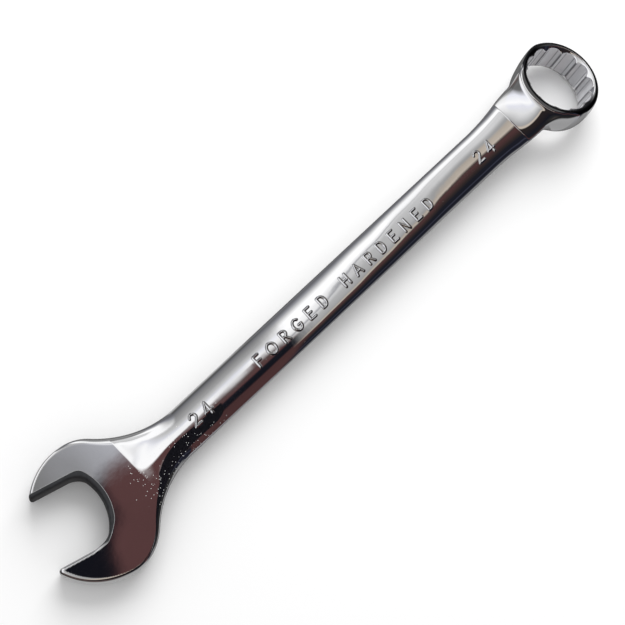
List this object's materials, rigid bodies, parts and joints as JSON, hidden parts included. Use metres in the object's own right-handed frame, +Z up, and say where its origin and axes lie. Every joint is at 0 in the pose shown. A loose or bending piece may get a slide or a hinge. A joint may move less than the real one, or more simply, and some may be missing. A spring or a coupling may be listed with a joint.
{
  "type": "combination wrench",
  "caption": "One-piece chrome-plated combination wrench: an open jaw set at 15 degrees on one end and a leaning 12-point ring on the other, both for 24 mm hexagons.",
  "frame": {"origin": "on the surface the tool lies on, below the middle of its bounding box", "axes": "+X runs along the shank from the open jaw to the ring, +Z is up from the surface it lies on, +Y towards the shorter-reaching prong"},
  "size_m": [0.2702, 0.0476, 0.0195],
  "materials": {
    "head_chrome": "polished chrome plate, slightly softer on the ground flat faces",
    "shank_chrome": "mirror chrome plate over a forged surface",
    "ring_chrome": "mirror chrome plate outside, satin inside the hole"
  },
  "bodies": {
    "root": {"open_end_head": "head_chrome", "shank": "shank_chrome", "ring_head": "ring_chrome"}
  },
  "joints": []
}
